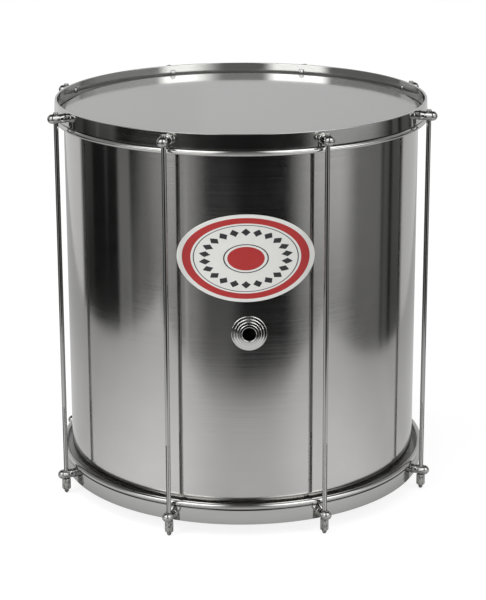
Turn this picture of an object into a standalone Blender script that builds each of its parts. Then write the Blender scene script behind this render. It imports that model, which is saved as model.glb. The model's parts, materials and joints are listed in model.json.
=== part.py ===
"""Surdo: a large two-headed drum, its heads tensioned by eight long rods.

Units are metres and +Z is up. The drum's axis is the Z axis, its front faces -Y,
and z = 0 is the level of the rod tips, which the drum stands on.
"""
import math

import bmesh
import bpy
from mathutils import Matrix, Vector

MM = 0.001
GAP = 0.3 * MM                      # clearance left between pieces that touch

# Round pieces: the rings share one facet count, so their flats stay parallel
RING_SEGMENTS = 48
SMALL_SEGMENTS = 12
VENT_SEGMENTS = 24

# Rods and the drum's height
ROD_COUNT = 8
FIRST_ROD_ANGLE = math.radians(22.5)
ROD_CIRCLE_R = 248.5 * MM
ROD_R = 3.0 * MM
ROD_TIP_R = 2.2 * MM
ROD_TIP_CHAMFER = 1.0 * MM
TIP_DROP = 16.0 * MM                # rod tips below the lower edge of the bottom hoop
HOOP_SPAN = 487.0 * MM              # top edge of the top hoop to bottom edge of the bottom hoop
BOTTOM_EDGE_Z = TIP_DROP
TOP_EDGE_Z = BOTTOM_EDGE_Z + HOOP_SPAN

# Counter hoops: a flat strip bent to a ring
HOOP_R = 238.0 * MM
STRIP_HEIGHT = 19.0 * MM
STRIP_THICKNESS = 3.0 * MM
LUG_DROP = STRIP_HEIGHT / 2         # lug centre below the hoop's edge

# Shell: sheet metal with both edges rolled inwards
SHELL_R = 226.6 * MM
SHELL_WALL = 1.5 * MM
ROLL_R = 4.0 * MM

# Heads: a stretched film whose hem hangs in the flesh hoop's channel
HEAD_INSET = 12.5 * MM              # film below the hoop's edge
FILM_THICKNESS = 0.5 * MM
HEM_R = 234.1 * MM
HEM_DEPTH = 4.2 * MM                # hem below the flesh hoop's top
FLARE_DROP = 18.2 * MM

# Flesh hoops: a channel ring under each counter hoop
FLESH_OUTER_R = 239.5 * MM
FLESH_INNER_R = 232.4 * MM
FLESH_HEIGHT = 7.5 * MM
FLESH_CHAMFER = 1.8 * MM
CHANNEL_INNER_R = 233.2 * MM
CHANNEL_OUTER_R = 234.5 * MM
CHANNEL_DEPTH = 5.3 * MM

# Lugs: a stout stud with a domed nose, pointing away from the hoop, with the rod down through it
STUD_HALF_WIDTH = 6.9 * MM
STUD_HALF_HEIGHT = 6.0 * MM
STUD_NOSE = 10.9 * MM               # end of the nose beyond the rod's axis
STUD_DOME_START = 4.3 * MM
STUD_DOME_STEPS = 3
STUD_HEAD_START = 3.2 * MM          # head's shoulder on the hoop's side of the rod's axis
STUD_NECK_END = 4.0 * MM
STUD_NECK_RATIO = 0.92
COLLAR_THICKNESS = 1.4 * MM
SPOT_LEVEL = 5.6 * MM               # flats above and below, for the rod's head and the nut
SPOT_R = 6.1 * MM
ROD_HOLE_R = 3.7 * MM
SEAT_R = 5.2 * MM
SEAT_DEPTH = 1.9 * MM
BLIND_DEPTH = 5.0 * MM

# Lug screws, driven from inside the hoop
SCREW_HEAD_R = 3.75 * MM
SCREW_HEAD_FACE_R = 3.0 * MM
SCREW_HEAD_HEIGHT = 2.0 * MM
SCREW_HEAD_EDGE = 0.7 * MM
SCREW_R = 2.0 * MM
SCREW_HOLE_R = SCREW_R + GAP

# Rod heads: a cone in the stud's seat with a short stub above
ROD_HEAD_R = 4.7 * MM
ROD_HEAD_DROP = 0.15 * MM           # widest ring below the stud's flat
ROD_CONE_HEIGHT = 2.15 * MM
ROD_STUB_R = 3.2 * MM
ROD_STUB_FOOT = 0.5 * MM
ROD_STUB_HEIGHT = 2.4 * MM

# Tuning nuts
NUT_FLATS = 10.0 * MM
NUT_HEIGHT = 14.0 * MM
NUT_CHAMFER = 0.9 * MM
NUT_FACE_RATIO = 0.86
NUT_BORE_R = ROD_R + GAP

# Vent through the front of the shell
VENT_X = 3.5 * MM
VENT_Z = TOP_EDGE_Z - 245.0 * MM
VENT_HOLE_R = 10.4 * MM
SLEEVE_R = 10.1 * MM
SLEEVE_BORE_R = 8.3 * MM
SLEEVE_LIP_R = 11.9 * MM
SLEEVE_LIP_HEIGHT = 1.5 * MM
SLEEVE_REACH = 7.0 * MM             # sleeve's inner end behind the shell's outer face
ROSETTE_STEP_RADII = (21.4 * MM, 18.2 * MM, 15.0 * MM)
ROSETTE_STEP_HEIGHT = 1.7 * MM
ROSETTE_RISER = 0.5 * MM
ROSETTE_SKIRT = 2.5 * MM
VENT_NUT_FLATS = 24.0 * MM
VENT_NUT_HEIGHT = 3.0 * MM
VENT_NUT_GAP = 0.5 * MM

# Badge: a plain oval plate bent to the shell
BADGE_Z = TOP_EDGE_Z - 152.0 * MM
BADGE_HALF_WIDTH = 82.0 * MM
BADGE_HALF_HEIGHT = 53.6 * MM
BADGE_THICKNESS = 0.8 * MM
BADGE_SIDES = 32

FLIP = Matrix.Rotation(math.pi, 4, "X")


def flat_distance(radius):
    """Distance from the axis to the middle of a facet of a ring with this radius."""
    return radius * math.cos(math.pi / RING_SEGMENTS)


def rod_angles():
    """Angles of the rods, from the front (-Y) towards +X."""
    step = 2 * math.pi / ROD_COUNT
    return [FIRST_ROD_ANGLE + index * step for index in range(ROD_COUNT)]


def outward_frame(angle, radius, z):
    """Frame at a point round the drum, its +X pointing away from the axis."""
    point = Vector((radius * math.sin(angle), -radius * math.cos(angle), z))
    return Matrix.Translation(point) @ Matrix.Rotation(angle - math.pi / 2, 4, "Z")


def clear_scene():
    for obj in list(bpy.data.objects):
        bpy.data.objects.remove(obj, do_unlink=True)


def make_collection(name):
    collection = bpy.data.collections.new(name)
    bpy.context.scene.collection.children.link(collection)
    return collection


def make_material(name, color, metallic, roughness):
    material = bpy.data.materials.new(name)
    material.use_nodes = True
    shader = material.node_tree.nodes["Principled BSDF"]
    shader.inputs["Base Color"].default_value = (*color, 1.0)
    shader.inputs["Metallic"].default_value = metallic
    shader.inputs["Roughness"].default_value = roughness
    return material


def shell_material():
    return make_material("shell_metal", (0.62, 0.61, 0.59), 1.0, 0.2)


def hoop_material():
    return make_material("hoop_metal", (0.66, 0.66, 0.64), 1.0, 0.22)


def chrome_material():
    return make_material("chrome", (0.72, 0.72, 0.71), 1.0, 0.1)


def film_material():
    return make_material("head_film", (0.5, 0.5, 0.49), 0.0, 0.25)


def badge_material():
    return make_material("badge_enamel", (0.86, 0.86, 0.84), 0.0, 0.35)


def add_object(name, mesh, collection, material=None):
    obj = bpy.data.objects.new(name, mesh)
    collection.objects.link(obj)
    if material:
        mesh.materials.clear()
        mesh.materials.append(material)
    return obj


def add_cutter(name, mesh, collection):
    cutter = add_object(name, mesh, collection)
    cutter.hide_render = True
    cutter.display_type = "WIRE"
    return cutter


def add_boolean(obj, cutter, operation):
    modifier = obj.modifiers.new("cut_" + cutter.name, "BOOLEAN")
    modifier.operation = operation
    modifier.solver = "EXACT"
    modifier.object = cutter


def turned(name, profile, segments, collection, material=None, ring=True):
    """Turn a profile of (radius, z) points round local Z; a ring's profile is a loop."""
    mesh = bpy.data.meshes.new(name)
    points = [(radius, 0.0, z) for radius, z in profile]
    edges = [(index, index + 1) for index in range(len(points) - 1)]
    if ring:
        edges.append((len(points) - 1, 0))
    mesh.from_pydata(points, edges, [])
    obj = add_object(name, mesh, collection, material)
    screw = obj.modifiers.new("turn", "SCREW")
    screw.steps = segments
    screw.render_steps = segments
    screw.use_merge_vertices = True
    screw.merge_threshold = 0.00001
    return obj


def turned_facets(name, profile, collection, material):
    """A large ring or disc, turned so that the middle of a facet faces each rod."""
    obj = turned(name, profile, RING_SEGMENTS, collection, material)
    obj.rotation_euler.z = math.pi / RING_SEGMENTS
    return obj


def finished_mesh(obj, name):
    """The object's mesh with its modifiers applied; the object is removed."""
    depsgraph = bpy.context.evaluated_depsgraph_get()
    mesh = bpy.data.meshes.new_from_object(obj.evaluated_get(depsgraph))
    mesh.name = name
    bpy.data.objects.remove(obj, do_unlink=True)
    return mesh


def cylinder_mesh(name, radius, depth, sides, frames):
    """Solid cylinders along local Z, centred on each of the given frames."""
    mesh = bpy.data.meshes.new(name)
    cage = bmesh.new()
    for frame in frames:
        bmesh.ops.create_cone(cage, cap_ends=True, segments=sides, radius1=radius,
                              radius2=radius, depth=depth, matrix=frame)
    cage.to_mesh(mesh)
    cage.free()
    return mesh


def place(obj, frame, parent):
    """Put an object at a world frame, as a child of a body's empty."""
    obj.parent = parent
    obj.matrix_world = frame


def end_frame(is_top):
    """Frame at a hoop's free edge, its +Z pointing out of the drum's end."""
    if is_top:
        return Matrix.Translation((0.0, 0.0, TOP_EDGE_Z))
    return Matrix.Translation((0.0, 0.0, BOTTOM_EDGE_Z)) @ FLIP


def facet_turn():
    return Matrix.Rotation(math.pi / RING_SEGMENTS, 4, "Z")


def arc_points(centre_r, centre_z, radius, degrees):
    points = []
    for value in degrees:
        angle = math.radians(value)
        points.append((centre_r + radius * math.cos(angle), centre_z + radius * math.sin(angle)))
    return points


def roll_centre_r():
    return SHELL_R - ROLL_R


def roll_drop():
    """Centre of the shell's rolled edge below the hoop's edge."""
    return HEAD_INSET + FILM_THICKNESS + GAP + ROLL_R


def build_shell(parts, cutters, material):
    centre_r = roll_centre_r()
    top = TOP_EDGE_Z - roll_drop()
    bottom = BOTTOM_EDGE_Z + roll_drop()
    inner_roll = ROLL_R - SHELL_WALL
    profile = arc_points(centre_r, top, ROLL_R, (135, 90, 45, 0))
    profile += arc_points(centre_r, bottom, ROLL_R, (0, -45, -90, -135))
    profile += arc_points(centre_r, bottom, inner_roll, (-135, -90, -45, 0))
    profile += arc_points(centre_r, top, inner_roll, (0, 45, 90, 135))
    shell = turned_facets("shell", profile, parts, material)
    drill_depth = 4 * ROLL_R
    frame = vent_frame(-drill_depth / 2)
    drill = add_cutter("vent_drill", cylinder_mesh("vent_drill", VENT_HOLE_R, 2 * drill_depth,
                                                   VENT_SEGMENTS, [frame]), cutters)
    add_boolean(shell, drill, "DIFFERENCE")
    return shell


def film_profile():
    """Film from its centre out over the shell's edge and down into the channel."""
    top = -HEAD_INSET
    centre_r = roll_centre_r()
    centre_z = -roll_drop()
    inner = ROLL_R + GAP
    outer = inner + FILM_THICKNESS
    hem_end = -(STRIP_HEIGHT + GAP + HEM_DEPTH)
    profile = [(0.0, top)]
    profile += arc_points(centre_r, centre_z, outer, (90, 45, 0))
    profile += [(HEM_R, -FLARE_DROP), (HEM_R, hem_end)]
    profile += [(HEM_R - FILM_THICKNESS, hem_end), (HEM_R - FILM_THICKNESS, -FLARE_DROP - FILM_THICKNESS)]
    profile += [(centre_r + inner, centre_z - FILM_THICKNESS)]
    profile += arc_points(centre_r, centre_z, inner, (45, 90))
    profile += [(0.0, top - FILM_THICKNESS)]
    return profile


def flesh_hoop_profile():
    top = -(STRIP_HEIGHT + GAP)
    bottom = top - FLESH_HEIGHT
    return [
        (FLESH_OUTER_R - FLESH_CHAMFER, top),
        (FLESH_OUTER_R, top - FLESH_CHAMFER),
        (FLESH_OUTER_R, bottom + FLESH_CHAMFER),
        (FLESH_OUTER_R - FLESH_CHAMFER, bottom),
        (FLESH_INNER_R + FLESH_CHAMFER, bottom),
        (FLESH_INNER_R, bottom + FLESH_CHAMFER),
        (FLESH_INNER_R, top),
        (CHANNEL_INNER_R, top),
        (CHANNEL_INNER_R, top - CHANNEL_DEPTH),
        (CHANNEL_OUTER_R, top - CHANNEL_DEPTH),
        (CHANNEL_OUTER_R, top),
    ]


def counter_hoop_profile():
    return [
        (HOOP_R, 0.0),
        (HOOP_R, -STRIP_HEIGHT),
        (HOOP_R - STRIP_THICKNESS, -STRIP_HEIGHT),
        (HOOP_R - STRIP_THICKNESS, 0.0),
    ]


def hoop_drill_mesh():
    depth = 6 * STRIP_THICKNESS
    along_x = Matrix.Rotation(math.pi / 2, 4, "Y")
    frames = [outward_frame(angle, HOOP_R, -LUG_DROP) @ along_x for angle in rod_angles()]
    return cylinder_mesh("hoop_drill", SCREW_HOLE_R, depth, SMALL_SEGMENTS, frames)


def build_counter_hoop(side, is_top, parts, cutters, material, carriage):
    frame = end_frame(is_top)
    hoop = turned("counter_hoop_" + side, counter_hoop_profile(), RING_SEGMENTS, parts, material)
    drill = add_cutter("hoop_drill_" + side, hoop_drill_mesh(), cutters)
    drill.matrix_world = frame
    add_boolean(hoop, drill, "DIFFERENCE")
    place(hoop, frame @ facet_turn(), carriage)


def build_flesh_hoop(side, is_top, parts, material, carriage):
    hoop = turned("flesh_hoop_" + side, flesh_hoop_profile(), RING_SEGMENTS, parts, material)
    place(hoop, end_frame(is_top) @ facet_turn(), carriage)


def build_film(side, is_top, parts, material):
    film = turned("head_film_" + side, film_profile(), RING_SEGMENTS, parts, material, ring=False)
    film.matrix_world = end_frame(is_top) @ facet_turn()


def lug_reach():
    """Distance from the rod's axis to the collar's face against the hoop."""
    return ROD_CIRCLE_R - flat_distance(HOOP_R) - GAP


def stud_form(cutters):
    """Outer form of a lug along the drum's radius: collar, neck, head and domed nose."""
    reach = lug_reach()
    profile = [
        (0.0, reach), (1.0, reach), (1.0, reach - COLLAR_THICKNESS),
        (STUD_NECK_RATIO, reach - COLLAR_THICKNESS), (STUD_NECK_RATIO, STUD_NECK_END),
        (1.0, STUD_HEAD_START),
    ]
    for step in range(STUD_DOME_STEPS):
        angle = math.pi / 2 * step / STUD_DOME_STEPS
        dome_height = (STUD_NOSE - STUD_DOME_START) * math.sin(angle)
        profile.append((math.cos(angle), -STUD_DOME_START - dome_height))
    profile.append((0.0, -STUD_NOSE))
    mesh = finished_mesh(turned("stud_form", profile, SMALL_SEGMENTS, cutters, ring=False), "lug")
    inward = Matrix.Rotation(-math.pi / 2, 4, "Y")
    mesh.transform(inward @ Matrix.Diagonal((STUD_HALF_HEIGHT, STUD_HALF_WIDTH, 1.0, 1.0)))
    return mesh


def rod_passage_profile():
    """Hole for the rod, with a conical seat above and a spot face at either end."""
    far = STUD_HALF_HEIGHT + STUD_HALF_WIDTH
    return [
        (0.0, far), (SPOT_R, far), (SPOT_R, SPOT_LEVEL), (SEAT_R, SPOT_LEVEL),
        (ROD_HOLE_R, SPOT_LEVEL - SEAT_DEPTH), (ROD_HOLE_R, -SPOT_LEVEL),
        (SPOT_R, -SPOT_LEVEL), (SPOT_R, -far), (0.0, -far),
    ]


def lug_mesh(cutters):
    """Stud with the rod's passage and, in its base, the screw's blind hole."""
    stud = add_object("stud", stud_form(cutters), cutters)
    passage = turned("rod_passage", rod_passage_profile(), SMALL_SEGMENTS, cutters, ring=False)
    along_x = Matrix.Rotation(math.pi / 2, 4, "Y")
    base = Matrix.Translation((-lug_reach(), 0.0, 0.0)) @ along_x
    hole = add_cutter("blind_hole", cylinder_mesh("blind_hole", SCREW_HOLE_R, 2 * BLIND_DEPTH,
                                                  SMALL_SEGMENTS, [base]), cutters)
    add_boolean(stud, passage, "DIFFERENCE")
    add_boolean(stud, hole, "DIFFERENCE")
    mesh = finished_mesh(stud, "lug")
    bpy.data.objects.remove(passage, do_unlink=True)
    bpy.data.objects.remove(hole, do_unlink=True)
    return mesh


def screw_mesh(cutters):
    """Round-headed screw along local +Z, its head's seat at local z = 0."""
    shank_end = ROD_CIRCLE_R - lug_reach() + BLIND_DEPTH - 2 * GAP
    shank_length = shank_end - flat_distance(HOOP_R - STRIP_THICKNESS)
    profile = [
        (0.0, shank_length), (SCREW_R, shank_length), (SCREW_R, 0.0), (SCREW_HEAD_R, 0.0),
        (SCREW_HEAD_R, -SCREW_HEAD_HEIGHT + SCREW_HEAD_EDGE),
        (SCREW_HEAD_FACE_R, -SCREW_HEAD_HEIGHT), (0.0, -SCREW_HEAD_HEIGHT),
    ]
    form = turned("screw_form", profile, SMALL_SEGMENTS, cutters, ring=False)
    return finished_mesh(form, "lug_screw")


def rod_mesh(cutters):
    """Rod along local Z from its tip at z = 0 to the stub above the top lug."""
    seat_z = TOP_EDGE_Z - LUG_DROP + SPOT_LEVEL
    ring_z = seat_z - ROD_HEAD_DROP
    stub_z = seat_z + ROD_STUB_FOOT
    end_z = seat_z + ROD_STUB_HEIGHT
    profile = [
        (0.0, end_z), (ROD_TIP_R, end_z), (ROD_STUB_R, end_z - ROD_TIP_CHAMFER),
        (ROD_STUB_R, stub_z), (ROD_HEAD_R, ring_z), (ROD_R, ring_z - ROD_CONE_HEIGHT),
        (ROD_R, ROD_TIP_CHAMFER), (ROD_TIP_R, 0.0), (0.0, 0.0),
    ]
    form = turned("rod_form", profile, SMALL_SEGMENTS, cutters, ring=False)
    return finished_mesh(form, "tension_rod")


def hex_nut(name, flats, height, chamfer, bore_r, bore_sides, cutters):
    """Hexagonal nut along local Z from z = 0 down, both ends chamfered, with a bore."""
    corner_r = flats / math.sqrt(3)
    face_r = corner_r * NUT_FACE_RATIO
    profile = [
        (0.0, 0.0), (face_r, 0.0), (corner_r, -chamfer),
        (corner_r, chamfer - height), (face_r, -height), (0.0, -height),
    ]
    form = turned(name + "_form", profile, 6, cutters, ring=False)
    middle = Matrix.Translation((0.0, 0.0, -height / 2))
    bore = add_cutter(name + "_bore", cylinder_mesh(name + "_bore", bore_r, 2 * height,
                                                    bore_sides, [middle]), cutters)
    add_boolean(form, bore, "DIFFERENCE")
    mesh = finished_mesh(form, name)
    bpy.data.objects.remove(bore, do_unlink=True)
    return mesh


def build_lugs(parts, cutters, material, carriages):
    mesh = lug_mesh(cutters)
    for side, is_top in (("top", True), ("bottom", False)):
        z = TOP_EDGE_Z - LUG_DROP if is_top else BOTTOM_EDGE_Z + LUG_DROP
        turn = Matrix.Identity(4) if is_top else FLIP
        for number, angle in enumerate(rod_angles(), 1):
            lug = add_object(f"lug_{side}_{number}", mesh, parts, material)
            place(lug, outward_frame(angle, ROD_CIRCLE_R, z) @ turn, carriages[side])


def build_lug_screws(parts, cutters, material, carriages):
    mesh = screw_mesh(cutters)
    seat_r = flat_distance(HOOP_R - STRIP_THICKNESS) - GAP
    along_x = Matrix.Rotation(math.pi / 2, 4, "Y")
    for side, is_top in (("top", True), ("bottom", False)):
        z = TOP_EDGE_Z - LUG_DROP if is_top else BOTTOM_EDGE_Z + LUG_DROP
        for number, angle in enumerate(rod_angles(), 1):
            screw = add_object(f"lug_screw_{side}_{number}", mesh, parts, material)
            place(screw, outward_frame(angle, seat_r, z) @ along_x, carriages[side])


def build_rods(parts, cutters, material, carriage):
    mesh = rod_mesh(cutters)
    for number, angle in enumerate(rod_angles(), 1):
        rod = add_object(f"tension_rod_{number}", mesh, parts, material)
        place(rod, outward_frame(angle, ROD_CIRCLE_R, 0.0), carriage)


def build_nuts(parts, cutters, material, carriage):
    mesh = hex_nut("tuning_nut", NUT_FLATS, NUT_HEIGHT, NUT_CHAMFER, NUT_BORE_R,
                   SMALL_SEGMENTS, cutters)
    z = BOTTOM_EDGE_Z + LUG_DROP - SPOT_LEVEL - GAP
    for number, angle in enumerate(rod_angles(), 1):
        nut = add_object(f"tuning_nut_{number}", mesh, parts, material)
        place(nut, outward_frame(angle, ROD_CIRCLE_R, z), carriage)


def vent_frame(offset):
    """Frame on the vent's axis, +Z pointing forwards; offset 0 is the shell's face."""
    point = Vector((VENT_X, -flat_distance(SHELL_R) - offset, VENT_Z))
    return Matrix.Translation(point) @ Matrix.Rotation(math.pi / 2, 4, "X")


def rosette_profile():
    """Rings stepping up towards the middle, on a skirt that the shell trims."""
    profile = []
    height = GAP
    for radius in ROSETTE_STEP_RADII:
        profile.insert(0, (radius, height))
        height += ROSETTE_STEP_HEIGHT
        profile.insert(0, (radius - ROSETTE_RISER, height))
    outer_r = ROSETTE_STEP_RADII[0]
    profile.insert(0, (VENT_HOLE_R, height))
    return profile + [(outer_r, -ROSETTE_SKIRT), (VENT_HOLE_R, -ROSETTE_SKIRT)], height


def build_vent_rosette(parts, cutters, material):
    profile, height = rosette_profile()
    rosette = turned("vent_rosette", profile, VENT_SEGMENTS, parts, material)
    rosette.matrix_world = vent_frame(0.0)
    trim_mesh = cylinder_mesh("rosette_trim", SHELL_R + GAP, 4 * ROSETTE_STEP_RADII[0],
                              RING_SEGMENTS, [Matrix.Identity(4)])
    trim = add_cutter("rosette_trim", trim_mesh, cutters)
    trim.location.z = VENT_Z
    trim.rotation_euler.z = math.pi / RING_SEGMENTS
    add_boolean(rosette, trim, "DIFFERENCE")
    return height


def build_vent_sleeve(parts, material, seat):
    foot = seat + GAP
    top = foot + SLEEVE_LIP_HEIGHT
    bevel = SLEEVE_LIP_HEIGHT / 3
    profile = [
        (SLEEVE_BORE_R, top), (SLEEVE_LIP_R - bevel, top), (SLEEVE_LIP_R, top - bevel),
        (SLEEVE_LIP_R, foot), (SLEEVE_R, foot), (SLEEVE_R, -SLEEVE_REACH),
        (SLEEVE_BORE_R, -SLEEVE_REACH),
    ]
    sleeve = turned("vent_sleeve", profile, VENT_SEGMENTS, parts, material)
    sleeve.matrix_world = vent_frame(0.0)


def build_vent_nut(parts, cutters, material):
    mesh = hex_nut("vent_nut", VENT_NUT_FLATS, VENT_NUT_HEIGHT, VENT_NUT_HEIGHT / 4,
                   VENT_HOLE_R, VENT_SEGMENTS, cutters)
    wall = flat_distance(SHELL_R) - flat_distance(SHELL_R - SHELL_WALL)
    nut = add_object("vent_nut", mesh, parts, material)
    nut.matrix_world = vent_frame(-(wall + VENT_NUT_GAP))


def build_badge(parts, cutters, material):
    """Oval plate: a thin band round the shell cut by an upright oval prism."""
    inner = SHELL_R + GAP
    outer = inner + BADGE_THICKNESS
    half = 1.2 * BADGE_HALF_HEIGHT
    profile = [
        (outer, BADGE_Z + half), (outer, BADGE_Z - half),
        (inner, BADGE_Z - half), (inner, BADGE_Z + half),
    ]
    badge = turned_facets("badge_plate", profile, parts, material)
    oval = Matrix.Translation((0.0, -SHELL_R, BADGE_Z)) @ Matrix.Rotation(math.pi / 2, 4, "X")
    stretch = Matrix.Diagonal((BADGE_HALF_WIDTH / BADGE_HALF_HEIGHT, 1.0, 1.0, 1.0))
    prism_mesh = cylinder_mesh("badge_outline", BADGE_HALF_HEIGHT, SHELL_R, BADGE_SIDES,
                               [oval @ stretch])
    prism = add_cutter("badge_outline", prism_mesh, cutters)
    add_boolean(badge, prism, "INTERSECT")


def add_empty(name, collection):
    empty = bpy.data.objects.new(name, None)
    collection.objects.link(empty)
    return empty


def main():
    clear_scene()
    parts = make_collection("surdo")
    cutters = make_collection("surdo_cutters")
    shell_metal = shell_material()
    hoop_metal = hoop_material()
    chrome = chrome_material()
    film = film_material()
    badge = badge_material()
    carriages = {
        "top": add_empty("top_hoop_axis", parts),
        "bottom": add_empty("bottom_hoop_axis", parts),
    }

    build_shell(parts, cutters, shell_metal)
    for side, is_top in (("top", True), ("bottom", False)):
        build_film(side, is_top, parts, film)
        build_flesh_hoop(side, is_top, parts, hoop_metal, carriages[side])
        build_counter_hoop(side, is_top, parts, cutters, hoop_metal, carriages[side])
    build_lugs(parts, cutters, chrome, carriages)
    build_lug_screws(parts, cutters, chrome, carriages)
    build_rods(parts, cutters, chrome, carriages["top"])
    build_nuts(parts, cutters, chrome, carriages["bottom"])
    seat = build_vent_rosette(parts, cutters, chrome)
    build_vent_sleeve(parts, chrome, seat)
    build_vent_nut(parts, cutters, chrome)
    build_badge(parts, cutters, badge)


main()
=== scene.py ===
"""Surdo: the looks of a large two-headed drum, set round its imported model.

Metres, +Z up, the front faces -Y. Angles round the drum run from the front towards +X.
"""
import json
from math import atan2, cos, pi, radians, sin, sqrt, tan

import bmesh
import bpy
from mathutils import Matrix, Vector

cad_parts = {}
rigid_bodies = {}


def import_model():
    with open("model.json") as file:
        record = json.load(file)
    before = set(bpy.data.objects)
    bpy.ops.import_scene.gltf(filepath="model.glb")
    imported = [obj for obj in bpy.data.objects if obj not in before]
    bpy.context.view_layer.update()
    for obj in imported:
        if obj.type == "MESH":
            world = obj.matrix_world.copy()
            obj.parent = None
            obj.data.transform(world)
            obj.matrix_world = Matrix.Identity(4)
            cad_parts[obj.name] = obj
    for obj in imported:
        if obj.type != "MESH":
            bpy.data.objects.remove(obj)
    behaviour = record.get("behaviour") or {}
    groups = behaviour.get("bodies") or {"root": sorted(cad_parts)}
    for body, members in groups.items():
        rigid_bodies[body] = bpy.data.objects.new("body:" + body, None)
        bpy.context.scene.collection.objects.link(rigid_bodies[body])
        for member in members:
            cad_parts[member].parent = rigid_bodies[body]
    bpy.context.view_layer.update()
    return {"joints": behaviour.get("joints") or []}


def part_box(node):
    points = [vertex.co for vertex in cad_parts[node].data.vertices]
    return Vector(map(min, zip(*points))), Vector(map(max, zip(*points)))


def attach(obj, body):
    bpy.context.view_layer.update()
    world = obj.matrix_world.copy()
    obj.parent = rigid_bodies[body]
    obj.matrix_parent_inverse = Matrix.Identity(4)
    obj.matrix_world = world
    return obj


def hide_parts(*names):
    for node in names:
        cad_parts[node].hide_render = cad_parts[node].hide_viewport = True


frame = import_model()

MM = 0.001

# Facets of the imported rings, whose flats face the rods, and of the smooth ones made here
CAD_FACETS = 48
RING = 384
SMALL = 48
VENT_RING = 96
CONE_RING = 72
SIDES = ("top", "bottom")
ALONG_X = Matrix.Rotation(pi / 2, 4, "Y")  # turns +Z to +X
CONTACT = 0.05 * MM  # clearance between pieces that touch
SUPPORT = 0.25 * MM  # extra rings near the ends of long runs keep them straight

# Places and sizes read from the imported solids
HOOP_LOW, HOOP_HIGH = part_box("counter_hoop_top")
TOP_EDGE_Z = HOOP_HIGH.z
STRIP_HEIGHT = HOOP_HIGH.z - HOOP_LOW.z
BOTTOM_EDGE_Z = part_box("counter_hoop_bottom")[0].z
HOOP_R = HOOP_HIGH.x / cos(pi / CAD_FACETS)
SHELL_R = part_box("shell")[1].x / cos(pi / CAD_FACETS)
FLESH_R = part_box("flesh_hoop_top")[1].x / cos(pi / CAD_FACETS)
FLESH_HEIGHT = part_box("flesh_hoop_top")[1].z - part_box("flesh_hoop_top")[0].z
LUG_LOW, LUG_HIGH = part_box("lug_top_1")
LUG_DROP = TOP_EDGE_Z - (LUG_LOW.z + LUG_HIGH.z) / 2
ROD_TOP_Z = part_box("tension_rod_1")[1].z
HEAD_INSET = TOP_EDGE_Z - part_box("head_film_top")[1].z
NUT_LOW, NUT_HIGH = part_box("tuning_nut_1")
BADGE_LOW, BADGE_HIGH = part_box("badge_plate")
SLEEVE_LOW, SLEEVE_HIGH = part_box("vent_sleeve")
VENT_X = (SLEEVE_LOW.x + SLEEVE_HIGH.x) / 2
VENT_Z = (SLEEVE_LOW.z + SLEEVE_HIGH.z) / 2
VENT_FRONT = -SLEEVE_LOW.y - SHELL_R
ROD_PLACES = [Vector(joint["pos_m"]) for joint in frame["joints"] if joint["name"].startswith("nut_")]
ROD_CIRCLE_R = ROD_PLACES[0].xy.length
ROD_ANGLES = [atan2(place.x, -place.y) for place in ROD_PLACES]

# Strip, shell and heads
STRIP_THICKNESS = 3.0 * MM
STRIP_EDGE = 0.6 * MM
STRIP_TAPER = 0.7 * MM  # the free edge is drawn in this far
SHELL_WALL = 1.5 * MM
ROLL_R = 4.0 * MM
FILM_THICKNESS = 0.5 * MM
HEM_R = 234.1 * MM
HEM_DEPTH = 4.2 * MM
FLARE_DROP = 18.2 * MM
FILM_RINGS = (60.0 * MM, 120.0 * MM, 180.0 * MM, 205.0 * MM)  # radii of rings on its flat part
FILM_LEAVES_ROLL = 12  # degrees above the level of the roll's centre
FILM_BEND = 0.8 * MM
ROLL_END = 135  # degrees round the roll, from outside
ROLL_STEPS = (15, 12, 6)  # points on its outside, its inside and its lip
FLESH_WIDTH = 7.1 * MM
FLESH_ROUND = 3.5 * MM
FLESH_ROUND_AT_STRIP = 4.0 * MM
CHANNEL_IN = 0.8 * MM
CHANNEL_WIDTH = 1.3 * MM
CHANNEL_DEPTH = 5.3 * MM
CHANNEL_EDGE = 0.25 * MM

# Lugs
STUD_HALF_WIDTH = 6.9 * MM
STUD_HALF_HEIGHT = 6.0 * MM
STUD_NOSE = 10.85 * MM
STUD_DOME_START = 4.3 * MM
# Profile of the stud's base, as (distance from it, share of the half width)
STUD_BASE = (
    (0.0, 0.0), (0.0, 0.96), (0.25 * MM, 1.0), (0.85 * MM, 1.0), (1.1 * MM, 0.92),
    (1.35 * MM, 0.92), (1.6 * MM, 0.98), (2.2 * MM, 0.98), (2.6 * MM, 0.92),
)
# The neck and the start of the head, as (share of the half width, distance from the rod's axis)
STUD_NECK = ((0.92, 4.3 * MM), (0.93, 4.0 * MM), (0.985, 3.4 * MM), (1.0, 2.85 * MM))
STUD_DOME_STEPS = 14
SPOT_LEVEL = 5.6 * MM
SPOT_R = 6.1 * MM
SEAT_R = 5.2 * MM
SEAT_DEPTH = 1.9 * MM
SPOT_EASE = 0.35 * MM
ROD_HOLE_R = 3.7 * MM

# Screws, rods and nuts
SCREW_HEAD_R = 3.75 * MM
SCREW_HEAD_HEIGHT = 2.0 * MM
SCREW_HEAD_RIM = 0.8 * MM
SCREW_FLAT_R = 3.0 * MM
SCREW_ROUNDS = (0.9 * MM, 0.4 * MM)  # arcs at the flat and at the rim
SCREW_DRILL_SIDES = 24
SCREW_R = 2.0 * MM
SCREW_PLAY = 0.2 * MM
SCREW_REACH = 7.3 * MM
RECESS_WIDTH = 0.9 * MM
RECESS_LENGTH = 3.6 * MM
RECESS_DEPTH = 1.1 * MM
BLIND_DEPTH = 5.0 * MM
ROD_R = 3.0 * MM
ROD_HEAD_R = 4.7 * MM
ROD_STUB_R = 3.2 * MM
ROD_CONE_HEIGHT = 2.15 * MM
ROD_HEAD_SINK = 0.15 * MM  # widest part of the head below the lug's spot face
ROD_HEAD_SHOULDER = 0.5 * MM  # start of the stub above that face
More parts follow.
